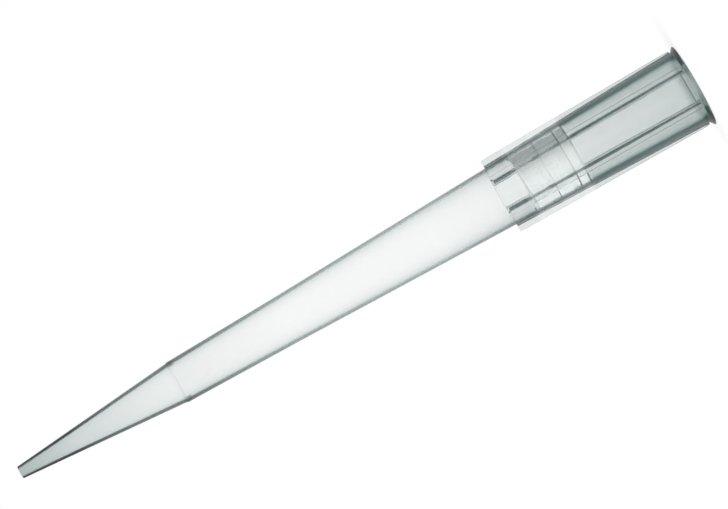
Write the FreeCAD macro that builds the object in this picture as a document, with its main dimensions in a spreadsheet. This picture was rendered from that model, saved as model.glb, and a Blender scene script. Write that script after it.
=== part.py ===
"""Filter pipette tip for about 1 ml: a moulded tip in clear polypropylene and its filter.

The tip stands on its mouth: the origin is the centre of the mouth face and +Z runs along
the axis to the outlet. Lengths are in millimetres. The tip's wall is one revolved section:
flanged mouth, lead-in, entry bore, filter seat with two holding rings, body and outlet
cone. Straight ribs stand on the outside of the collar, evenly spaced round it. The filter
is a porous plug, pressed into the seat, that takes the seat's shape.
"""
import FreeCAD
import Part
import Sketcher
import os

# The driving dimensions: name, value, and what it measures. A height is measured from the
# mouth face, a diameter is an outside one, and a taper is how much a diameter loses.
SIZES = [
    ("overall_length", 78.0, "height of the outlet face"),
    ("collar_length", 22.4, "height where the collar ends"),
    ("collar_diameter", 8.08, "collar at the flange"),
    ("collar_taper", 1.30, "taper of the collar, from the flange to its end"),
    ("collar_wall", 0.45, "wall of the collar round the entry bore"),
    ("flange_width", 0.43, "how far the flange stands out from the collar"),
    ("flange_depth", 0.47, "height where the flange meets the collar"),
    ("flange_edge", 0.06, "height of the flange's upright edge and of the bevel under it"),
    ("mouth_face", 0.45, "width of the flat face round the mouth"),
    ("lead_in_depth", 0.85, "depth of the tapered lead-in"),
    ("seat_length", 6.24, "length of the filter seat"),
    ("seat_inset", 2.48, "from the end of the seat to the end of the collar"),
    ("seat_fade", 0.15, "length of the taper at each end of the seat"),
    ("seat_step", 0.13, "how far the seat's bore stands in from the entry bore"),
    ("seat_taper", 0.14, "taper of the seat's bore"),
    ("ring_height", 0.07, "how far the holding rings stand in from the seat's narrow end"),
    ("first_ring", 1.63, "from the start of the seat to the first holding ring"),
    ("ring_pitch", 2.34, "from the first holding ring to the second"),
    ("ring_land", 0.20, "straight land on a holding ring"),
    ("ring_foot", 0.58, "foot of a holding ring, along the bore"),
    ("filter_length", 6.05, "length of the filter, from the end of the seat"),
    ("filter_bevel", 0.08, "bevel round the filter's end that faces the mouth"),
    ("collar_step", 0.16, "how far the collar's end stands out from the body"),
    ("upper_body_length", 24.8, "from the collar's end to where the body's taper changes"),
    ("upper_body_taper", 1.39, "taper of the body above the change"),
    ("lower_body_length", 12.7, "from the change of taper to the ledge"),
    ("lower_body_taper", 0.51, "taper of the body below the change"),
    ("body_top_wall", 0.36, "wall of the body at the collar"),
    ("body_middle_wall", 0.30, "wall of the body where its taper changes"),
    ("body_end_wall", 0.31, "wall of the body at the ledge"),
    ("ledge_width", 0.06, "how far the ledge stands out from the cone"),
    ("ledge_fade", 0.50, "height over which the thicker wall fades into the cone"),
    ("cone_wall", 0.26, "wall of the cone"),
    ("outlet_diameter", 1.34, "cone at the outlet"),
    ("rib_count", 6, "ribs round the collar"),
    ("rib_width", 0.60, "width of a rib, round the collar"),
    ("rib_start", 0.13, "from the flange to where the ribs begin"),
    ("rib_start_height", 0.22, "how far a rib stands out from the collar where it begins"),
    ("rib_end_height", 0.68, "how far a rib stands out from the collar where it ends"),
]
NEAR = 1e-6

doc = FreeCAD.newDocument("PipetteTip")


def make_sheet():
    """Write the driving dimensions to a spreadsheet, one named cell each."""
    sheet = doc.addObject("Spreadsheet::Sheet", "Sizes")
    for row, (name, value, note) in enumerate(SIZES, start=1):
        sheet.set(f"A{row}", note)
        sheet.set(f"B{row}", str(value))
        sheet.setAlias(f"B{row}", name)
    doc.recompute()


def between(first, last, share):
    """Expression for the value this share of the way from one expression to another."""
    return f"({first}) + (({last}) - ({first})) * ({share})"


# Outside radii, each from the one above it, and the heights that more than one corner uses.
COLLAR_TOP = "Sizes.collar_diameter / 2"
COLLAR_END = f"{COLLAR_TOP} - Sizes.collar_taper / 2"
FLANGE = f"{COLLAR_TOP} + Sizes.flange_width"
FLANGE_BEVEL = f"{FLANGE} - Sizes.flange_edge"
BODY_TOP = f"{COLLAR_END} - Sizes.collar_step"
BODY_MIDDLE = f"{BODY_TOP} - Sizes.upper_body_taper / 2"
BODY_END = f"{BODY_MIDDLE} - Sizes.lower_body_taper / 2"
CONE_TOP = f"{BODY_END} - Sizes.ledge_width"
OUTLET = "Sizes.outlet_diameter / 2"
SEAT_END = "Sizes.collar_length - Sizes.seat_inset"
SEAT_START = f"{SEAT_END} - Sizes.seat_length"
TAPER_CHANGE = "Sizes.collar_length + Sizes.upper_body_length"
LEDGE = f"{TAPER_CHANGE} + Sizes.lower_body_length"
FILTER_START = f"{SEAT_END} - Sizes.filter_length"


def collar_outside(height):
    """Expression for the collar's outer radius at a height, on its straight taper."""
    share = f"(({height}) - Sizes.flange_depth) / (Sizes.collar_length - Sizes.flange_depth)"
    return between(COLLAR_TOP, COLLAR_END, share)


def entry_bore(height):
    """Expression for the entry bore's radius at a height: it follows the collar."""
    return f"{collar_outside(height)} - Sizes.collar_wall"


def seat_bore(height):
    """Expression for the plain seat's radius at a height."""
    top = f"{entry_bore(SEAT_START)} - Sizes.seat_step"
    return f"{top} - Sizes.seat_taper / 2 * (({height}) - ({SEAT_START})) / Sizes.seat_length"


def holding_rings():
    """Corners of both holding rings and of the seat's end, in the order of rising height."""
    land = f"{seat_bore(SEAT_END)} - Sizes.ring_height"
    first = f"{SEAT_START} + Sizes.first_ring"
    corners = []
    for middle in (first, f"{first} + Sizes.ring_pitch"):
        foot_low, foot_high = f"{middle} - Sizes.ring_foot / 2", f"{middle} + Sizes.ring_foot / 2"
        corners += [
            (seat_bore(foot_low), foot_low),
            (land, f"{middle} - Sizes.ring_land / 2"),
            (land, f"{middle} + Sizes.ring_land / 2"),
            (seat_bore(foot_high), foot_high),
        ]
    return corners + [(seat_bore(SEAT_END), SEAT_END)]


def wall_section():
    """Corners of the wall's section: up the outside to the outlet and down the bore."""
    body_top_bore = f"{BODY_TOP} - Sizes.body_top_wall"
    body_middle_bore = f"{BODY_MIDDLE} - Sizes.body_middle_wall"
    seat_share = "-Sizes.seat_inset / Sizes.upper_body_length"
    fade_share = f"Sizes.ledge_fade / (Sizes.overall_length - ({LEDGE}))"
    outside = [
        (FLANGE_BEVEL, "0"),
        (FLANGE, "Sizes.flange_edge"),
        (FLANGE, "Sizes.flange_edge * 2"),
        (COLLAR_TOP, "Sizes.flange_depth"),
        (COLLAR_END, "Sizes.collar_length"),
        (BODY_TOP, "Sizes.collar_length"),
        (BODY_MIDDLE, TAPER_CHANGE),
        (BODY_END, LEDGE),
        (CONE_TOP, LEDGE),
        (OUTLET, "Sizes.overall_length"),
    ]
    bore = [
        (f"{FLANGE_BEVEL} - Sizes.mouth_face", "0"),
        (entry_bore("Sizes.lead_in_depth"), "Sizes.lead_in_depth"),
        (entry_bore(SEAT_START), SEAT_START),
        (seat_bore(SEAT_START), f"{SEAT_START} + Sizes.seat_fade"),
        *holding_rings(),
        (between(body_top_bore, body_middle_bore, seat_share), f"{SEAT_END} + Sizes.seat_fade"),
        (body_middle_bore, TAPER_CHANGE),
        (f"{BODY_END} - Sizes.body_end_wall", LEDGE),
        (f"{between(CONE_TOP, OUTLET, fade_share)} - Sizes.cone_wall", f"{LEDGE} + Sizes.ledge_fade"),
        (f"{OUTLET} - Sizes.cone_wall", "Sizes.overall_length"),
    ]
    return outside + bore[::-1]


def rib_section():
    """Corners of one rib's section: its foot lies half way into the collar's wall."""
    start, end = "Sizes.flange_depth + Sizes.rib_start", "Sizes.collar_length"
    return [
        (f"{collar_outside(start)} - Sizes.collar_wall / 2", start),
        (f"{collar_outside(start)} + Sizes.rib_start_height", start),
        (f"{collar_outside(end)} + Sizes.rib_end_height", end),
        (f"{BODY_TOP} - Sizes.body_top_wall / 2", end),
    ]


def filter_section():
    """Corners of the filter's section, from the axis round to the axis."""
    bevel_end = f"{FILTER_START} + Sizes.filter_bevel"
    return [
        ("0", FILTER_START),
        (f"{seat_bore(FILTER_START)} - Sizes.filter_bevel", FILTER_START),
        (seat_bore(bevel_end), bevel_end),
        *holding_rings(),
        ("0", SEAT_END),
    ]


def outline(body, name, corners):
    """A closed straight-sided outline on the body's XZ plane.

    Each corner is a pair of expressions, radius and height, and is held at its distances
    from the origin, each bound to its expression, or on the axis where the expression is 0.
    """
    sketch = body.newObject("Sketcher::SketchObject", name)
    plane = next(f for f in body.Origin.OriginFeatures if f.Role == "XZ_Plane")
    sketch.AttachmentSupport = (plane, [""])
    sketch.MapMode = "FlatFace"
    points = [FreeCAD.Vector(*(float(sketch.evalExpression(e)) for e in corner)) for corner in corners]
    for start, end in zip(points, points[1:] + points[:1]):
        sketch.addGeometry(Part.LineSegment(start, end), False)
    for line in range(len(points)):
        following = (line + 1) % len(points)
        sketch.addConstraint(Sketcher.Constraint("Coincident", line, 2, following, 1))
    for line, (point, corner) in enumerate(zip(points, corners)):
        for kind, axis, value, expression in zip(("DistanceX", "DistanceY"), (-2, -1), point, corner):
            if expression == "0":
                sketch.addConstraint(Sketcher.Constraint("PointOnObject", line, 1, axis))
                continue
            held = sketch.addConstraint(Sketcher.Constraint(kind, -1, 1, line, 1, value))
            sketch.setExpression(f"Constraints[{held}]", expression)
    doc.recompute()
    return sketch


def revolve(label, name, corners):
    """A body with one section turned about the axis. Returns the body and the revolution."""
    body = doc.addObject("PartDesign::Body", f"{name}Body")
    body.Label = label
    turned = body.newObject("PartDesign::Revolution", name)
    turned.Profile = outline(body, f"{name}Section", corners)
    turned.ReferenceAxis = (turned.Profile[0], ["V_Axis"])
    turned.Angle = 360
    body.Placement = FreeCAD.Placement()
    doc.recompute()
    return body, turned


def make_tip():
    """The moulded tip: the revolved wall, one rib, and the rib repeated round the axis."""
    body, wall = revolve("tip_body", "Wall", wall_section())
    wall_volume = wall.Shape.Volume

    rib = body.newObject("PartDesign::Pad", "Rib")
    rib.Profile = outline(body, "RibSection", rib_section())
    rib.SideType = "Symmetric"
    rib.setExpression("Length", "Sizes.rib_width")
    doc.recompute()
    one_rib = rib.Shape.Volume - wall_volume

    ribs = body.newObject("PartDesign::PolarPattern", "Ribs")
    ribs.Originals = [rib]
    ribs.Axis = (wall.Profile[0], ["V_Axis"])
    ribs.Angle = 360
    ribs.setExpression("Occurrences", "Sizes.rib_count")
    body.Tip = ribs
    doc.recompute()

    count = int(ribs.Occurrences)
    grown = body.Shape.Volume - wall_volume
    if one_rib <= 0 or abs(grown - count * one_rib) > NEAR * wall_volume:
        raise RuntimeError(f"the {count} ribs add {grown:.4f} mm3, not {count} x {one_rib:.4f}")
    return body


def make_filter():
    """The filter: a plug turned to the shape of the seat round it."""
    return revolve("filter_plug", "Plug", filter_section())[0]


def check(bodies):
    """Stop before anything is written if an object failed or a piece is not one sound solid."""
    for item in doc.Objects:
        bad = {"Invalid", "Error"} & set(item.State)
        if bad:
            raise RuntimeError(f"{item.Name}: {', '.join(sorted(bad))}")
    for body in bodies:
        shape = body.Shape
        if shape.isNull() or not shape.isValid() or len(shape.Solids) != 1:
            raise RuntimeError(f"{body.Label}: not one valid solid")
    tip, plug = bodies
    shared = tip.Shape.common(plug.Shape).Volume
    if shared > NEAR * plug.Shape.Volume:
        raise RuntimeError(f"the filter cuts {shared:.4f} mm3 into the tip")


make_sheet()
pieces = [make_tip(), make_filter()]
check(pieces)
os.makedirs("parts", exist_ok=True)
for piece in pieces:
    piece.Shape.exportStep(f"parts/{piece.Label}.step")
    print(f"{piece.Label}: {piece.Shape.Volume:.2f} mm3, box {piece.Shape.BoundBox}")
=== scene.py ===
"""Looks of a filter pipette tip: a clear moulded tip, its porous filter, and a small studio."""

import math

import bmesh
import bpy
from bpy.props import FloatProperty, FloatVectorProperty, IntProperty, PointerProperty
from mathutils import Matrix, Vector


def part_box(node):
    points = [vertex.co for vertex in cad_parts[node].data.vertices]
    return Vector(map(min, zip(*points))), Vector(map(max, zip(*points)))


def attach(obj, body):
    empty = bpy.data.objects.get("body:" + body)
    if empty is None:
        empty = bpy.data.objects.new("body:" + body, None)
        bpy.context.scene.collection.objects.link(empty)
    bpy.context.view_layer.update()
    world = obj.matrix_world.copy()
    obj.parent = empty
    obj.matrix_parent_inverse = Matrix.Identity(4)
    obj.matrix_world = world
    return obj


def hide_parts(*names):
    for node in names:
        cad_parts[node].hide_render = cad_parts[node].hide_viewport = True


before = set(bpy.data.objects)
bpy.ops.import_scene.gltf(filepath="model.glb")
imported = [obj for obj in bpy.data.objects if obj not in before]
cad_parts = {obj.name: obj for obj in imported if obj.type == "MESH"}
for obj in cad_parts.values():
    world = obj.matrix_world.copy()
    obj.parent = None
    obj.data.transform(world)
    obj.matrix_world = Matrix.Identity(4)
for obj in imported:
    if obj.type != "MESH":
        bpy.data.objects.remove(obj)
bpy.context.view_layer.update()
TIP_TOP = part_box("tip_body")[1].z
MM = 0.001

bl_info = {
    "name": "Filter Pipette Tip",
    "version": (1, 0, 0),
    "blender": (4, 5, 0),
    "location": "3D View > Sidebar > Pipette Tip",
    "description": "Builds a clear filter pipette tip with its materials and studio",
    "category": "Add Mesh",
}


# ---------------------------------------------------------------- sizes and colours


def length(name, millimetres, description):
    """A length property with a default in millimetres."""
    return FloatProperty(
        name=name,
        description=description,
        default=millimetres * MM,
        min=0.0,
        precision=5,
        subtype="DISTANCE",
        unit="LENGTH",
    )


def colour(name, rgb, description):
    """A colour property."""
    return FloatVectorProperty(
        name=name, description=description, default=rgb, size=3, min=0.0, max=1.0, subtype="COLOR"
    )


def plain(name, default, description):
    """A plain number property."""
    return FloatProperty(name=name, description=description, default=default, precision=4)


class CollarSizes(bpy.types.PropertyGroup):
    """Sizes of the wide end that the pipette goes into."""

    end: length("Collar length", 22.4, "Height where the collar ends")
    top_radius: length("Radius at the flange", 4.04, "Outer radius of the collar at the flange")
    end_radius: length("Radius at the end", 3.39, "Outer radius of the collar where it ends")
    wall: length("Wall", 0.45, "Wall of the collar round the entry bore")
    flange_radius: length("Flange radius", 4.47, "Outer radius of the flange")
    flange_depth: length("Flange depth", 0.47, "Height where the flange meets the collar")
    flange_edge: length("Flange edge", 0.06, "Height of the flange's upright edge and its bevel")
    lip_radius: length("Lip radius", 3.96, "Inner radius of the mouth's flat face")
    lead_in: length("Lead-in depth", 0.85, "Depth of the tapered lead-in")


class RibSizes(bpy.types.PropertyGroup):
    """Sizes of the straight ribs on the collar."""

    count: IntProperty(name="Ribs", description="Ribs round the collar", default=6, min=2, max=24)
    width: length("Width", 0.60, "Width of a rib, round the collar")
    start: length("Start", 0.60, "Height where the ribs begin")
    start_height: length("Height at the start", 0.22, "How far a rib stands out where it begins")
    end_height: length("Height at the end", 0.68, "How far a rib stands out where it ends")
    edge: length("Edge rounding", 0.07, "Rounding along a rib's crest")
    foot: length("Foot rounding", 0.05, "Rounding along a rib's foot")


class BodySizes(bpy.types.PropertyGroup):
    """Sizes of the long body and the cone."""

    top_radius: length("Radius at the collar", 3.23, "Outer radius of the body below the collar")
    middle: length("Change of taper", 47.2, "Height where the body's taper changes")
    middle_radius: length("Radius at the change", 2.535, "Outer radius where the taper changes")
    ledge: length("Ledge height", 59.9, "Height of the ledge above the cone")
    ledge_radius: length("Radius at the ledge", 2.28, "Outer radius of the body at the ledge")
    cone_radius: length("Cone radius", 2.22, "Outer radius of the cone at the ledge")
    outlet_radius: length("Outlet radius", 0.67, "Outer radius of the cone at the outlet")
    middle_wall: length("Wall at the change", 0.30, "Wall where the taper changes")
    end_wall: length("Wall at the ledge", 0.31, "Wall at the ledge")
    cone_wall: length("Cone wall", 0.26, "Wall of the cone")
    chamber_top: length("Chamber radius", 2.9335, "Bore radius just past the filter's seat")


class FilterSizes(bpy.types.PropertyGroup):
    """Sizes of the filter and its seat."""

    seat_start: length("Seat start", 13.68, "Height where the entry bore ends")
    seat_end: length("Seat end", 19.92, "Height of the shoulder that the filter meets")
    seat_radius: length("Seat radius", 3.068, "Bore radius at the seat's start")
    seat_end_radius: length("Seat end radius", 2.998, "Bore radius at the seat's end")
    fade: length("Seat fade", 0.20, "Length of the taper at each end of the seat")
    ring_radius: length("Ring radius", 2.965, "Bore radius on the two holding rings")
    first_ring: length("First ring", 15.21, "Height of the first holding ring")
    second_ring: length("Second ring", 17.54, "Height of the second holding ring")
    ring_step: length("Ring step", 0.11, "Length of the steep edge of a holding ring")
    ring_land: length("Ring land", 0.30, "Straight land on a holding ring")
    ring_foot: length("Ring foot", 0.90, "Foot of a holding ring, along the bore")
    plug_length: length("Filter length", 6.05, "Length of the filter")
    plug_edge: length("Filter edge", 0.10, "Rounding of the filter's edges")
    plug_gap: length("Filter gap", 0.012, "Gap between the filter and the bore")
    plug_lean: plain("Filter lean", 0.058, "Slope of the filter's end faces, because it sits askew")


class Finishes(bpy.types.PropertyGroup):
    """Colours of the two materials."""

    plastic: colour("Plastic", (0.714, 0.76, 0.752), "Tint of light that goes through the plastic")
    plug: colour("Filter", (0.86, 0.865, 0.86), "Sintered white of the filter")
    # Painted shade in the hollows between the filter's beads.
    plug_hollow_shade: colour("Filter grain", (0.80, 0.805, 0.80), "Hollows between the filter's beads")


class StudioSettings(bpy.types.PropertyGroup):
    """Camera, floor and light."""

    distance: length("Camera distance", 460.0, "From the camera to the tip's axis")
    aim_height: length("Aim height", 37.2, "Height that the camera looks at")
    aim_side: length("Aim aside", 1.784, "How far to the camera's side of the axis it looks")
    turn: plain("Turn", -90.0, "Direction of the camera from the tip, in degrees")
    roll: plain("Roll", 240.1, "Roll of the camera, in degrees")
    focal: plain("Focal length", 226.6, "Focal length of the lens, in millimetres")
    floor_size: length("Floor size", 6000.0, "Side of the square floor")
    panel_size: length("Panel size", 1200.0, "Side of the soft light panel overhead")
    panel_height: length("Panel height", 1200.0, "Height of the light panel")
    panel_power: plain("Panel power", 3.0, "Power of the light panel, in watts")
    backdrop: colour("Backdrop", (1.0, 1.0, 1.0), "Floor and background")
    shade: colour("Shade", (0.84, 1.0, 0.99), "Light that reaches the filter from its dim side")


# Height in millimetres; how light the plastic's colour is square on, how light the painted edge
# shade leaves it where it is seen along its surface, how much painted shade greys it towards its
# edges (evenly, and near them only), how late that painted edge shade starts, the radius of the
# middle of the wall, and how dark the painted shade lines along the ribs are.
DEPTHS = [
    (0.0, 0.50, 0.05, 0.3, 0.0, 0.03, 4.19, 0.98),
    (0.85, 0.57, 0.05, 0.3, 0.0, 0.03, 3.80, 0.98),
    (1.0, 0.84, 0.04, 0.5, 0.0, 0.09, 3.80, 0.99),
    (6.9, 0.87, 0.04, 0.45, 0.0, 0.09, 3.61, 0.99),
    (13.5, 0.905, 0.04, 0.45, 0.0, 0.09, 3.42, 0.99),
    (13.9, 0.985, 0.08, 0.2, 0.2, 0.18, 3.36, 0.13),
    (19.9, 0.985, 0.08, 0.2, 0.2, 0.18, 3.22, 0.13),
    (20.3, 0.97, 0.02, 0.3, 0.5, 0.16, 3.10, 0.99),
    (24.0, 0.985, 0.12, 0.1, 0.6, 0.20, 3.01, 0.99),
    (30.0, 1.0, 0.26, 0.0, 0.6, 0.21, 2.85, 0.9),
    (47.2, 1.0, 0.18, 0.0, 0.65, 0.17, 2.385, 0.9),
    (53.8, 0.975, 0.09, 0.0, 0.7, 0.14, 2.24, 0.9),
    (59.8, 0.95, 0.02, 0.0, 0.8, 0.11, 2.10, 0.9),
    (61.0, 0.95, 0.05, 0.0, 0.7, 0.10, 2.00, 0.9),
    (65.4, 0.913, 0.03, 0.0, 0.5, 0.08, 1.62, 0.9),
    (71.4, 0.85, 0.0, 0.1, 0.2, 0.0, 1.13, 0.9),
    (78.0, 0.72, 0.0, 0.1, 0.0, -0.08, 0.54, 0.9),
]
# A colour ramp holds numbers from 0 to 1, so two columns go through it moved or scaled.
LATE_SHIFT, MIDDLE_SCALE = 0.5, 5.0

# Heights in millimetres over which the greener tint of the painted edge shade in the entry bore
# ends, and over which the filter ends.
ENTRY_SHADE_TINT_ENDS = (12.0, 14.0)
FILTER_ENDS = (19.0, 20.5)
ABSORPTION = 400.0  # how dense the plastic's tint is, per metre

# Faces round the pieces: under a rib, from a rib to the next, and round the filter.
RIB_COLUMNS, WALL_COLUMNS, PLUG_COLUMNS = 6, 30, 120
# The longest faces along the tip's wall and along the filter.
TIP_RUN, PLUG_RUN = 0.8 * MM, 0.25 * MM
# Edges that turn by more than these degrees stay sharp.
TIP_SHARP, PLUG_SHARP = 32, 40
JOIN_DISTANCE = 1e-6  # between the edges of two neighbouring sectors, in metres

# A corner's arc starts at most ARC_SHARE of a side from the corner. A side longer than LONG_SIDE
# times that reach gets one more point, at GUARD_POINT times it, so that long faces stay flat.
ARC_SHARE, LONG_SIDE, GUARD_POINT = 0.42, 4, 1.5

# The floor's glow in reflections, how much more of it the camera sees, and the glow's share.
FLOOR_GLOW, CAMERA_GLOW, GLOW_SHARE = 0.44, 0.57, 0.5
# The world's light on the filter through the clear wall, and how much its dim side loses.
FILL, DIM_SIDE = 3.05, 0.95

GROUPS = {
    "tip_collar": CollarSizes,
    "tip_ribs": RibSizes,
    "tip_body": BodySizes,
    "tip_filter": FilterSizes,
    "tip_finishes": Finishes,
    "tip_studio": StudioSettings,
}


# ---------------------------------------------------------------- node building


class Value:
    """A number on a node socket: Python's operators add the Math nodes."""

    def __init__(self, nodes, socket):
        self.nodes, self.socket = nodes, socket

    def math(self, operation, *others):
        """This number and the others through a Math node."""
        inputs = dict(enumerate((self, *others)))
        return self.nodes.value(self.nodes.add("ShaderNodeMath", {"operation": operation}, inputs))

    def __add__(self, other):
        return self.math("ADD", other)

    __radd__ = __add__

    def __mul__(self, other):
        return self.math("MULTIPLY", other)

    __rmul__ = __mul__

    def __sub__(self, other):
        return self.math("SUBTRACT", other)

    def __rsub__(self, other):
        return self.nodes.constant_first("SUBTRACT", other, self)

    def __truediv__(self, other):
        return self.math("DIVIDE", other)

    def __rtruediv__(self, other):
        return self.nodes.constant_first("DIVIDE", other, self)

    def __pow__(self, other):
        return self.math("POWER", other)

    def above(self, low, high):
        """0 below low, 1 above high, with a smooth step between them."""
        node = self.nodes.add(
            "ShaderNodeMapRange",
            {"interpolation_type": "SMOOTHSTEP"},
            {"Value": self, "From Min": low, "From Max": high, "To Min": 0.0, "To Max": 1.0},
        )
        return self.nodes.value(node)

    def band(self, low, high, soft):
        """1 between low and high, with soft ends."""
        return self.above(low - soft, low + soft) * (1 - self.above(high - soft, high + soft))


class Nodes:
    """Adds nodes to a tree."""

    def __init__(self, tree):
        self.tree = tree
        tree.nodes.clear()

    def add(self, kind, settings=None, inputs=None):
        """A node of this kind: its settings first, then its sockets' values or links."""
        node = self.tree.nodes.new(kind)
        for name, setting in (settings or {}).items():
            if name == "stops":
                self.set_stops(node.color_ramp.elements, setting)
            else:
                setattr(node, name, setting)
        for name, item in (inputs or {}).items():
            self.put(node.inputs[name], item)
        return node

    @staticmethod
    def set_stops(elements, stops):
        """Give a ramp its stops: (position, grey level)."""
        while len(elements) < len(stops):
            elements.new(1.0)
        for element, (position, level) in zip(elements, stops):
            element.position, element.color = position, (level, level, level, 1.0)

    def put(self, socket, item):
        """Give a socket a value or a link."""
        if isinstance(item, Value):
            item = item.socket
        if isinstance(item, bpy.types.NodeSocket):
            self.tree.links.new(item, socket)
        elif socket.type == "RGBA" and len(item) == 3:
            socket.default_value = (*item, 1.0)
        else:
            socket.default_value = item

    def value(self, node, output=0):
        """A node's number output, ready for Python's operators."""
        return Value(self, node.outputs[output])

    def constant_first(self, operation, number, item):
        """A Math node whose first number is a constant."""
        node = self.add("ShaderNodeMath", {"operation": operation}, {0: number, 1: item})
        return self.value(node)

    def ramp(self, item, stops):
        """A number that follows these stops as the given number goes from 0 to 1."""
        return self.value(self.add("ShaderNodeValToRGB", {"stops": stops}, {0: item}))

    def mix_colour(self, factor, first, second):
        """One colour mixed into another; the result is a colour socket."""
        node = self.add("ShaderNodeMix", {"data_type": "RGBA"}, {0: factor, 6: first, 7: second})
        return node.outputs[2]

    def position(self):
        """Object coordinates in millimetres: the vector, and its three numbers."""
        coordinates = self.add("ShaderNodeTexCoord").outputs["Object"]
        scaled = self.add(
            "ShaderNodeVectorMath", {"operation": "SCALE"}, {0: coordinates, "Scale": 1 / MM}
        ).outputs[0]
        parts = self.add("ShaderNodeSeparateXYZ", None, {0: scaled})
        return scaled, [self.value(parts, axis) for axis in range(3)]


# ---------------------------------------------------------------- sections


def rounded(corners, steps=4):
    """Points round a closed section, each corner (radius, height, rounding) made an arc."""
    points = []
    for index, (radius, height, rounding) in enumerate(corners):
        corner = Vector((radius, height))
        if rounding <= 0:
            points.append(corner)
            continue
        before = Vector(corners[index - 1][:2]) - corner
        after = Vector(corners[(index + 1) % len(corners)][:2]) - corner
        half = before.angle(after) / 2
        room = ARC_SHARE * min(before.length, after.length)
        reach = min(rounding / math.tan(half), room)
        start, end = corner + before.normalized() * reach, corner + after.normalized() * reach
        if before.length > LONG_SIDE * reach:
            points.append(corner + before.normalized() * reach * GUARD_POINT)
        for step in range(steps + 1):
            share = step / steps
            points.append(
                start * (1 - share) ** 2 + corner * 2 * share * (1 - share) + end * share**2
            )
        if after.length > LONG_SIDE * reach:
            points.append(corner + after.normalized() * reach * GUARD_POINT)
    return points


def stepped(points, longest):
    """The same closed section with no run longer than this."""
    result = []
    for point, following in zip(points, points[1:] + points[:1]):
        runs = max(1, math.ceil((following - point).length / longest))
        result += [point.lerp(following, step / runs) for step in range(runs)]
    return result


def collar_radius(collar, height):
    """Outer radius of the collar on its straight taper."""
    share = (height - collar.flange_depth) / (collar.end - collar.flange_depth)
    return collar.top_radius + (collar.end_radius - collar.top_radius) * share


def seat_radius(seat, height):
    """Bore radius of the plain seat."""
    share = (height - seat.seat_start) / (seat.seat_end - seat.seat_start)
    return seat.seat_radius + (seat.seat_end_radius - seat.seat_radius) * share


def seat_corners(seat):
    """Corners of the seat's two holding rings, in the order of rising height."""
    corners = []
    for middle in (seat.first_ring, seat.second_ring):
        low, high = middle - seat.ring_foot / 2, middle + seat.ring_foot / 2
        corners += [
            (seat_radius(seat, low), low, 0.05 * MM),
            (seat.ring_radius, low + seat.ring_step, 0.03 * MM),
            (seat.ring_radius, low + seat.ring_step + seat.ring_land, 0.08 * MM),
            (seat_radius(seat, high), high, 0.05 * MM),
        ]
    return corners


def wall_corners(collar, ribs, body, seat):
    """Corners of the wall's section: up the outside to the outlet and down the bore."""
    entry_top = collar_radius(collar, collar.lead_in) - collar.wall
    entry_end = collar_radius(collar, seat.seat_start) - collar.wall
    # The bore narrows over this much of the cone, past the ledge.
    past_ledge = 0.5 * MM
    cone_share = past_ledge / (TIP_TOP - body.ledge)
    cone_outside = body.cone_radius + (body.outlet_radius - body.cone_radius) * cone_share
    outside = [
        (collar.flange_radius - collar.flange_edge, 0.0, 0.02 * MM),
        (collar.flange_radius, collar.flange_edge, 0.02 * MM),
        (collar.flange_radius, collar.flange_edge * 2, 0.02 * MM),
        (collar.top_radius, collar.flange_depth, 0.05 * MM),
        (collar_radius(collar, ribs.start), ribs.start, 0.0),
        (collar.end_radius, collar.end, 0.0),
        (body.top_radius, collar.end, 0.03 * MM),
        (body.middle_radius, body.middle, 6.0 * MM),
        (body.ledge_radius, body.ledge, 0.02 * MM),
        (body.cone_radius, body.ledge, 0.02 * MM),
        (body.outlet_radius, TIP_TOP, 0.04 * MM),
    ]
    bore = [
        (collar.lip_radius, 0.0, 0.05 * MM),
        (entry_top, collar.lead_in, 0.10 * MM),
        (entry_end, seat.seat_start, 0.03 * MM),
        (seat_radius(seat, seat.seat_start + seat.fade), seat.seat_start + seat.fade, 0.03 * MM),
        *seat_corners(seat),
        (seat.seat_end_radius, seat.seat_end, 0.02 * MM),
        (body.chamber_top, seat.seat_end + seat.fade, 0.03 * MM),
        (body.middle_radius - body.middle_wall, body.middle, 6.0 * MM),
        (body.ledge_radius - body.end_wall, body.ledge, 0.10 * MM),
        (cone_outside - body.cone_wall, body.ledge + past_ledge, 0.10 * MM),
        (body.outlet_radius - body.cone_wall, TIP_TOP, 0.04 * MM),
    ]
    return outside + bore[::-1]


# ---------------------------------------------------------------- the tip


def rib_outline(ribs, wall_radius, height):
    """Points across a rib, from one foot to the other: (radial, lateral)."""
    half = ribs.width / 2
    wall = math.sqrt(wall_radius**2 - half**2)
    crest = wall_radius + height
    edge, foot = min(ribs.edge, height * 0.4), min(ribs.foot, height * 0.3)
    # The rounded foot, the flank, and the rounded corner of the crest.
    side = [
        (wall + foot * 0.02, half + foot),
        (wall + foot * 0.3, half + foot * 0.3),
        (wall + foot, half),
        (crest - edge, half),
        (crest - edge * 0.6, half - edge * 0.08),
        (crest - edge * 0.3, half - edge * 0.3),
        (crest - edge * 0.08, half - edge * 0.6),
        (crest, half - edge),
    ]
    return [(radial, -lateral) for radial, lateral in side] + [(crest, 0.0)] + side[::-1]


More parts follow.
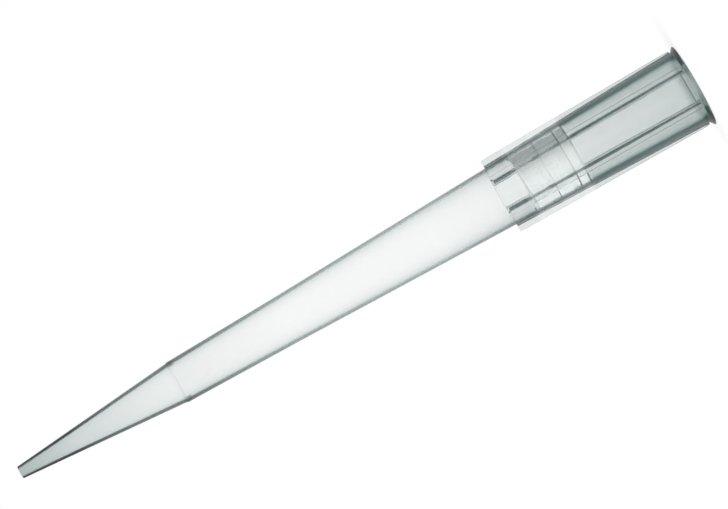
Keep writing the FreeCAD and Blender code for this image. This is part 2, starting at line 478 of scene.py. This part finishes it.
def make_sector(ribs, collar, points, columns):
    """Mesh of one rib and the wall up to the next rib, with its outside, ends and bore."""
    pitch = 2 * math.pi / ribs.count
    mesh = bmesh.new()
    first = min(
        range(len(points)),
        key=lambda i: abs(points[i].y - ribs.start)
        + abs(points[i].x - collar_radius(collar, ribs.start)),
    )
    last = min(
        range(len(points)),
        key=lambda i: abs(points[i].y - collar.end) + abs(points[i].x - collar.end_radius),
    )
    plain_rows, raised_rows = [], {}
    for index, point in enumerate(points):
        near = min(max(point.y, ribs.start), collar.end)
        half = math.asin((ribs.width / 2 + ribs.foot) / collar_radius(collar, near))
        angles = [-half + 2 * half * k / RIB_COLUMNS for k in range(RIB_COLUMNS + 1)]
        angles += [half + (pitch - 2 * half) * k / columns for k in range(1, columns + 1)]
        around = [(point.x * math.cos(a), point.x * math.sin(a), point.y) for a in angles]
        plain_rows.append([mesh.verts.new(place) for place in around])
        if first <= index <= last:
            share = (point.y - ribs.start) / (collar.end - ribs.start)
            height = ribs.start_height + (ribs.end_height - ribs.start_height) * share
            if index in (first, last):  # the crest is bevelled at its two ends
                height -= ribs.edge * 0.6
            outline = rib_outline(ribs, point.x, height)[1:-1]
            raised_rows[index] = [mesh.verts.new((x, y, point.y)) for x, y in outline]
    total = len(points)
    for index in range(total):
        following = (index + 1) % total
        low, high = plain_rows[index], plain_rows[following]
        on_rib = first <= index < last
        for k in range(RIB_COLUMNS if on_rib else 0, len(low) - 1):
            mesh.faces.new((low[k], low[k + 1], high[k + 1], high[k]))
        if on_rib:
            low_chain = [low[0], *raised_rows[index], low[RIB_COLUMNS]]
            high_chain = [high[0], *raised_rows[following], high[RIB_COLUMNS]]
            for k in range(len(low_chain) - 1):
                mesh.faces.new((low_chain[k], low_chain[k + 1], high_chain[k + 1], high_chain[k]))
    for index, flipped in ((first, False), (last, True)):
        ring = [*plain_rows[index][: RIB_COLUMNS + 1], *raised_rows[index][::-1]]
        mesh.faces.new(ring[::-1] if flipped else ring)
    data = bpy.data.meshes.new("tip_sector")
    mesh.to_mesh(data)
    mesh.free()
    return data


def repeat_tree(material):
    """Geometry Nodes that repeat a sector round the axis and join the copies."""
    tree = bpy.data.node_groups.new("ribbed_wall", "GeometryNodeTree")
    nodes = Nodes(tree)
    interface = tree.interface
    interface.new_socket(name="Geometry", in_out="OUTPUT", socket_type="NodeSocketGeometry")
    interface.new_socket(name="Sector", in_out="INPUT", socket_type="NodeSocketGeometry")
    count = interface.new_socket(name="Count", in_out="INPUT", socket_type="NodeSocketInt")
    join = interface.new_socket(
        name="Join Distance", in_out="INPUT", socket_type="NodeSocketFloat"
    )
    count.default_value, join.default_value = 6, JOIN_DISTANCE
    given = nodes.add("NodeGroupInput")
    line = nodes.add(
        "GeometryNodeMeshLine", None, {"Count": given.outputs["Count"], "Offset": (0.0, 0.0, 0.0)}
    )
    turn = nodes.value(nodes.add("GeometryNodeInputIndex")) * (2 * math.pi)
    turn = turn / Value(nodes, given.outputs["Count"])
    rotation = nodes.add("ShaderNodeCombineXYZ", None, {"Z": turn})
    placed = nodes.add(
        "GeometryNodeInstanceOnPoints",
        None,
        {
            "Points": line.outputs[0],
            "Instance": given.outputs["Sector"],
            "Rotation": rotation.outputs[0],
        },
    )
    real = nodes.add("GeometryNodeRealizeInstances", None, {0: placed.outputs[0]})
    joined = nodes.add(
        "GeometryNodeMergeByDistance",
        None,
        {"Geometry": real.outputs[0], "Distance": given.outputs["Join Distance"]},
    )
    done = nodes.add(
        "GeometryNodeSetMaterial", None, {"Geometry": joined.outputs[0], "Material": material}
    )
    nodes.add("NodeGroupOutput", None, {0: done.outputs[0]})
    return tree, count, join


def plain_mesh(thing, name):
    """The evaluated shape of an object as a plain mesh, with its modifiers removed."""
    bpy.context.view_layer.update()
    graph = bpy.context.evaluated_depsgraph_get()
    data = bpy.data.meshes.new_from_object(thing.evaluated_get(graph))
    thing.modifiers.clear()
    thing.data = data
    data.name = name
    return data


def face_outwards(data, sharp_degrees):
    """Point the faces outwards, smooth them, and keep the real corners sharp."""
    mesh = bmesh.new()
    mesh.from_mesh(data)
    bmesh.ops.recalc_face_normals(mesh, faces=mesh.faces)
    if mesh.calc_volume(signed=True) < 0:
        bmesh.ops.reverse_faces(mesh, faces=mesh.faces)
    open_edges = [edge for edge in mesh.edges if len(edge.link_faces) != 2]
    if open_edges:
        raise RuntimeError(f"{data.name} has {len(open_edges)} open edges")
    mesh.to_mesh(data)
    mesh.free()
    data.shade_smooth()
    data.set_sharp_from_angle(angle=math.radians(sharp_degrees))


def add_piece(name, data, material):
    """A new object in the scene with this mesh and material."""
    thing = bpy.data.objects.new(name, data)
    bpy.context.scene.collection.objects.link(thing)
    data.materials.clear()
    data.materials.append(material)
    return thing


def clear_plastic(scene):
    """Clear moulded polypropylene: a faint grey-green, with painted shade where it is seen along
    its wall and along its ribs.
    """
    collar, ribs, seat = scene.tip_collar, scene.tip_ribs, scene.tip_filter
    material = bpy.data.materials.new("clear_polypropylene")
    material.use_nodes = True
    nodes = Nodes(material.node_tree)
    place, (x, y, z) = nodes.position()
    top = TIP_TOP / MM
    # Ramps by height: how light the plastic is square on, the painted edge shade, and how dark the
    # painted shade lines along the ribs are.
    clear, edge, grey, fade, rib_line_shade = (
        nodes.ramp(z / top, [(row[0] / top, row[column]) for row in DEPTHS])
        for column in (1, 2, 3, 4, 7)
    )
    late = nodes.ramp(z / top, [(row[0] / top, row[5] + LATE_SHIFT) for row in DEPTHS])
    late = late - LATE_SHIFT
    middle = nodes.ramp(z / top, [(row[0] / top, row[6] / MIDDLE_SCALE) for row in DEPTHS])
    middle = middle * MIDDLE_SCALE
    facing = nodes.value(nodes.add("ShaderNodeLayerWeight"), "Facing")
    radius = (x * x + y * y).math("SQRT")
    # The painted edge shade, where the wall is seen at a glancing angle, starts later on the bore's
    # own surface than on the outside.
    bore = (middle - radius).above(-0.03, 0.03)
    along = (facing - late - 0.35 * bore).above(0.24, 0.42)
    # Distance from the middle of the nearest rib, round the collar.
    turn = y.math("ARCTAN2", x) * (ribs.count / (2 * math.pi)) + 0.5
    offset = (turn.math("FRACT") - 0.5) * (2 * math.pi / ribs.count)
    lateral = (radius * offset.math("SINE")).math("ABSOLUTE")
    taper = (collar.end_radius - collar.top_radius) / (collar.end - collar.flange_depth)
    outside = collar.top_radius / MM + (z - collar.flange_depth / MM) * taper
    raised = (radius - outside).above(0.03, 0.09)
    half = ribs.width / 2 / MM
    low_end = z.above(*FILTER_ENDS)
    # Painted shade lines at a rib: its flanks, the corners of its crest, and its foot on the wall.
    side = raised * (lateral - half).above(-0.03, -0.01) * (0.04 + 0.96 * facing.above(0.25, 0.45))
    crest = raised * lateral.band(half - 0.09, half - 0.02, 0.01) * (0.97 - 0.55 * low_end)
    crest = crest * (1 - 0.8 * facing.above(0.16, 0.36))
    ribs_start, collar_end = ribs.start / MM, collar.end / MM
    ribbed = z.above(ribs_start, ribs_start + 0.1)
    ribbed = ribbed * (1 - z.above(collar_end - 0.05, collar_end - 0.01))
    root = lateral.band(half, half + 0.08, 0.02) * (radius - outside).above(-0.06, -0.02) * ribbed
    root = root * (1 - raised) * (0.75 + 0.2 * low_end)
    shade_lines = root.math("MAXIMUM", side).math("MAXIMUM", crest)
    # The painted shade lines darken again at the two holding rings.
    first, second = seat.first_ring / MM, seat.second_ring / MM
    ring_line_shade = z.band(first - 0.37, first + 0.25, 0.04)
    ring_line_shade = ring_line_shade + z.band(second - 0.33, second + 0.33, 0.04)
    # Painted shade: a little over each rib, and the lines as dark as the height calls for.
    painted_shade = raised * 0.08 * (1 - shade_lines) + shade_lines * (rib_line_shade + 0.5 * ring_line_shade)
    # Painted shade at the outlines of the thick ring of plastic at the ledge.
    ledge = scene.tip_body.ledge / MM
    ledge_shade = z.band(ledge - 0.6, ledge, 0.08) * facing.above(0.42, 0.62)
    painted_shade = painted_shade.math("MAXIMUM", 0.8 * ledge_shade)
    # Painted shade that greys the plastic towards its edges.
    edge_shade = (1 - grey * facing) * (1 - fade * facing * facing)
    # Cloudy patches, and fine streaks along the tip.
    haze = nodes.value(
        nodes.add(
            "ShaderNodeTexNoise",
            {"noise_dimensions": "3D"},
            {"Vector": place, "Scale": 0.9, "Detail": 4.0, "Roughness": 0.6},
        ),
        "Fac",
    )
    cloudy = haze.above(0.35, 0.75)
    # The plastic's colour: its lightness by height, darkened by the painted edge shade and the
    # painted shade lines, and a little in cloudy patches.
    level = clear * edge_shade * (1 + along * (edge - 1)) * (1 - painted_shade) * (1 - 0.05 * grey * cloudy)
    stretched = nodes.add(
        "ShaderNodeVectorMath", {"operation": "MULTIPLY"}, {0: place, 1: (1.0, 1.0, 0.05)}
    )
    streaks = nodes.value(
        nodes.add(
            "ShaderNodeTexNoise",
            {"noise_dimensions": "3D"},
            {"Vector": stretched.outputs[0], "Scale": 2.5, "Detail": 3.0, "Roughness": 0.5},
        ),
        "Fac",
    )
    flow = nodes.add(
        "ShaderNodeBump",
        None,
        {"Strength": 0.3, "Distance": 0.01 * MM, "Height": streaks + 0.4 * haze},
    )
    # The painted edge shade is greener in the entry bore.
    red = level**1.2 * (1 - 0.4 * along * (1 - z.above(*ENTRY_SHADE_TINT_ENDS)))
    tint = nodes.add("ShaderNodeCombineColor", None, {0: red, 1: level, 2: level**1.03}).outputs[0]
    shader = nodes.add(
        "ShaderNodeBsdfPrincipled",
        None,
        {
            "Base Color": tint,
            "Roughness": 0.02 + 0.06 * grey * cloudy,
            "IOR": 1.49,
            "Transmission Weight": 1.0,
            "Normal": flow.outputs[0],
        },
    )
    depth = nodes.add(
        "ShaderNodeVolumeAbsorption",
        None,
        {"Color": scene.tip_finishes.plastic, "Density": ABSORPTION},
    )
    nodes.add("ShaderNodeOutputMaterial", None, {0: shader.outputs[0], 1: depth.outputs[0]})
    return material


class TIP_OT_add_tip(bpy.types.Operator):
    """Add the clear tip: its flanged mouth, ribbed collar, body and cone"""

    bl_idname = "pipette_tip.add_tip"
    bl_label = "Add Tip"
    bl_options = {"REGISTER", "UNDO"}

    def execute(self, context):
        scene = context.scene
        collar, ribs, body, seat = (
            scene.tip_collar,
            scene.tip_ribs,
            scene.tip_body,
            scene.tip_filter,
        )
        points = stepped(rounded(wall_corners(collar, ribs, body, seat)), TIP_RUN)
        sector = make_sector(ribs, collar, points, WALL_COLUMNS)
        material = clear_plastic(scene)
        tip = add_piece("tip", sector, material)
        tree, count, join = repeat_tree(material)
        repeat = tip.modifiers.new("Ribbed wall", "NODES")
        repeat.node_group = tree
        repeat[count.identifier] = ribs.count
        repeat[join.identifier] = JOIN_DISTANCE
        data = plain_mesh(tip, "tip")
        face_outwards(data, TIP_SHARP)
        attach(tip, "root")
        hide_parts("tip_body")
        return {"FINISHED"}


# ---------------------------------------------------------------- the filter


def sintered_white(finishes):
    """White sintered polyethylene: fused beads, with painted shade in the small hollows between
    them.
    """
    material = bpy.data.materials.new("porous_polyethylene")
    material.use_nodes = True
    nodes = Nodes(material.node_tree)
    place, _ = nodes.position()
    beads = nodes.value(
        nodes.add(
            "ShaderNodeTexVoronoi", {"feature": "SMOOTH_F1"}, {"Vector": place, "Scale": 5.0}
        ),
        "Distance",
    )
    # Painted shade, darker in the hollows between the beads.
    hollow_shade = beads.above(0.35, 0.75)
    tint = nodes.mix_colour(hollow_shade, finishes.plug, finishes.plug_hollow_shade)
    bump = nodes.add(
        "ShaderNodeBump", None, {"Strength": 0.5, "Distance": 0.03 * MM, "Height": 1 - beads}
    )
    shader = nodes.add(
        "ShaderNodeBsdfPrincipled",
        None,
        {"Base Color": tint, "Roughness": 0.8, "Normal": bump.outputs[0]},
    )
    nodes.add("ShaderNodeOutputMaterial", None, {0: shader.outputs[0]})
    return material


class TIP_OT_add_filter(bpy.types.Operator):
    """Add the white filter that is pressed into its seat, slightly askew"""

    bl_idname = "pipette_tip.add_filter"
    bl_label = "Add Filter"
    bl_options = {"REGISTER", "UNDO"}

    def execute(self, context):
        scene = context.scene
        seat = scene.tip_filter
        # The end stays just short of the shoulder. Each end face is one polygon, so the section
        # has no points near the axis.
        short_by, inner = 0.01 * MM, 0.1 * MM
        start, end = seat.seat_end - seat.plug_length, seat.seat_end - short_by
        top = (seat_radius(seat, start), start, seat.plug_edge)
        bottom = (seat.seat_end_radius, end, seat.plug_edge)
        corners = [(0.0, start, 0.0), top, *seat_corners(seat), bottom, (0.0, end, 0.0)]
        points = [p for p in stepped(rounded(corners), PLUG_RUN) if p.x > inner]
        first_foot = seat.first_ring - seat.ring_foot / 2
        last_foot = seat.second_ring + seat.ring_foot / 2
        mesh = bmesh.new()
        rows = []
        for point in points:
            radius = max(point.x - seat.plug_gap, inner / 2)
            # Both ends lean, and the grooves between them stay level with the rings.
            near_start = (first_foot - point.y) / (first_foot - start)
            near_end = (point.y - last_foot) / (end - last_foot)
            share = max(near_start, near_end, 0.0)
            row = []
            for k in range(PLUG_COLUMNS):
                angle = 2 * math.pi * k / PLUG_COLUMNS
                across = radius * math.cos(angle)
                lean = share * seat.plug_lean * (across - seat.seat_end_radius)
                row.append(mesh.verts.new((across, radius * math.sin(angle), point.y + lean)))
            rows.append(row)
        for low, high in zip(rows, rows[1:]):
            for k in range(PLUG_COLUMNS):
                n = (k + 1) % PLUG_COLUMNS
                mesh.faces.new((low[k], low[n], high[n], high[k]))
        mesh.faces.new(rows[0][::-1])
        mesh.faces.new(rows[-1])
        data = bpy.data.meshes.new("filter")
        mesh.to_mesh(data)
        mesh.free()
        face_outwards(data, PLUG_SHARP)
        plug = add_piece("filter", data, sintered_white(scene.tip_finishes))
        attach(plug, "root")
        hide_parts("filter_plug")
        return {"FINISHED"}


# ---------------------------------------------------------------- the studio


def floor_material(studio):
    """White floor that keeps the tip's shadow, and is passed by light seen through the plastic."""
    material = bpy.data.materials.new("floor")
    material.use_nodes = True
    nodes = Nodes(material.node_tree)
    path = nodes.add("ShaderNodeLightPath")
    camera = nodes.value(path, "Is Camera Ray")
    seen = camera.math("MAXIMUM", nodes.value(path, "Is Glossy Ray"))
    matt = nodes.add("ShaderNodeBsdfDiffuse", None, {"Color": studio.backdrop})
    glow = nodes.add(
        "ShaderNodeEmission",
        None,
        {"Color": studio.backdrop, "Strength": FLOOR_GLOW + CAMERA_GLOW * camera},
    )
    mixed = nodes.add(
        "ShaderNodeMixShader",
        None,
        {0: seen * GLOW_SHARE, 1: matt.outputs[0], 2: glow.outputs[0]},
    )
    through = nodes.add("ShaderNodeBsdfTransparent")
    done = nodes.add(
        "ShaderNodeMixShader",
        None,
        {0: nodes.value(path, "Is Transmission Ray"), 1: mixed.outputs[0], 2: through.outputs[0]},
    )
    nodes.add("ShaderNodeOutputMaterial", None, {0: done.outputs[0]})
    return material


def studio_world(studio):
    """White background and even light; what reaches the filter through the wall is one-sided."""
    world = bpy.data.worlds.new("studio")
    world.use_nodes = True
    nodes = Nodes(world.node_tree)
    direction = nodes.add("ShaderNodeTexCoord").outputs["Generated"]
    parts = nodes.add("ShaderNodeSeparateXYZ", None, {0: direction})
    across, along = nodes.value(parts, 0), nodes.value(parts, 1)
    path = nodes.add("ShaderNodeLightPath")
    camera = nodes.value(path, "Is Camera Ray")
    through = nodes.value(path, "Is Transmission Ray")
    inner = nodes.value(path, "Diffuse Depth").math("MINIMUM", 1.0) * through
    shine = nodes.value(path, "Is Glossy Ray") * (1 - through)
    # Reflections are dimmer than the background, and the filter's light is one-sided.
    level = 1 - 0.35 * shine
    shade = DIM_SIDE * across.above(-0.05, 0.75) * (1 - 0.35 * along.above(0.0, 0.8))
    fill = FILL * (1 - shade) * (1 - 0.25 * (-1 * across).above(0.2, 0.9))
    strength = camera + (1 - camera) * (level + inner * (fill - level))
    tint = nodes.mix_colour(inner * shade, studio.backdrop, studio.shade)
    light = nodes.add("ShaderNodeBackground", None, {"Color": tint, "Strength": strength})
    nodes.add("ShaderNodeOutputWorld", None, {0: light.outputs[0]})
    return world


class TIP_OT_add_stage(bpy.types.Operator):
    """Add the floor, the light and the camera"""

    bl_idname = "pipette_tip.add_stage"
    bl_label = "Add Stage"
    bl_options = {"REGISTER", "UNDO"}

    def execute(self, context):
        scene = context.scene
        studio = scene.tip_studio
        half = studio.floor_size / 2
        data = bpy.data.meshes.new("floor")
        data.from_pydata(
            [(-half, -half, 0.0), (half, -half, 0.0), (half, half, 0.0), (-half, half, 0.0)],
            [],
            [(0, 1, 2, 3)],
        )
        add_piece("floor", data, floor_material(studio))
        scene.world = studio_world(studio)
        panel = bpy.data.lights.new("soft_panel", "AREA")
        panel.shape, panel.size, panel.energy = "SQUARE", studio.panel_size, studio.panel_power
        lamp = bpy.data.objects.new("soft_panel", panel)
        height = studio.panel_height
        lamp.location = (-0.3 * height, -0.2 * height, height)
        lamp.rotation_euler = lamp.location.to_track_quat("Z", "Y").to_euler()
        lamp.visible_camera = lamp.visible_transmission = False
        scene.collection.objects.link(lamp)
        lens = bpy.data.cameras.new("camera")
        lens.sensor_width, lens.lens, lens.clip_start = 36.0, studio.focal, 0.01
        camera = bpy.data.objects.new("camera", lens)
        scene.collection.objects.link(camera)
        turn, roll = math.radians(studio.turn), math.radians(studio.roll)
        back = Vector((math.cos(turn), math.sin(turn), 0.0))
        side = Vector((-back.y, back.x, 0.0))
        right = side * math.cos(roll) + Vector((0.0, 0.0, math.sin(roll)))
        up = -side * math.sin(roll) + Vector((0.0, 0.0, math.cos(roll)))
        place = back * studio.distance + side * studio.aim_side
        place.z = studio.aim_height
        turned = Matrix((right, up, back)).transposed().to_4x4()
        camera.matrix_world = Matrix.Translation(place) @ turned
        scene.camera = camera
        scene.view_settings.view_transform = "Standard"
        # Light crosses many clear walls on its way.
        scene.cycles.max_bounces = 24
        scene.cycles.transmission_bounces = 24
        scene.cycles.glossy_bounces = 12
        return {"FINISHED"}


class TIP_PT_panel(bpy.types.Panel):
    """Sizes, finishes and the steps that build the tip"""

    bl_idname = "TIP_PT_panel"
    bl_label = "Pipette Tip"
    bl_space_type = "VIEW_3D"
    bl_region_type = "UI"
    bl_category = "Pipette Tip"

    def draw(self, context):
        layout = self.layout
        for operator in STEPS:
            layout.operator(operator.bl_idname)
        for name, group in GROUPS.items():
            box = layout.box()
            box.label(text=group.__doc__)
            for item in group.__annotations__:
                box.prop(getattr(context.scene, name), item)


STEPS = (TIP_OT_add_tip, TIP_OT_add_filter, TIP_OT_add_stage)
CLASSES = (*GROUPS.values(), *STEPS, TIP_PT_panel)


def register():
    """Register the classes and put the property groups on the scene."""
    for item in CLASSES:
        bpy.utils.register_class(item)
    for name, group in GROUPS.items():
        setattr(bpy.types.Scene, name, PointerProperty(type=group))


def unregister():
    """Take the property groups off the scene and unregister the classes."""
    for name in GROUPS:
        delattr(bpy.types.Scene, name)
    for item in reversed(CLASSES):
        bpy.utils.unregister_class(item)


def main():
    """Build everything by its operators."""
    register()
    bpy.ops.pipette_tip.add_tip()
    bpy.ops.pipette_tip.add_filter()
    bpy.ops.pipette_tip.add_stage()


if __name__ == "__main__":
    main()
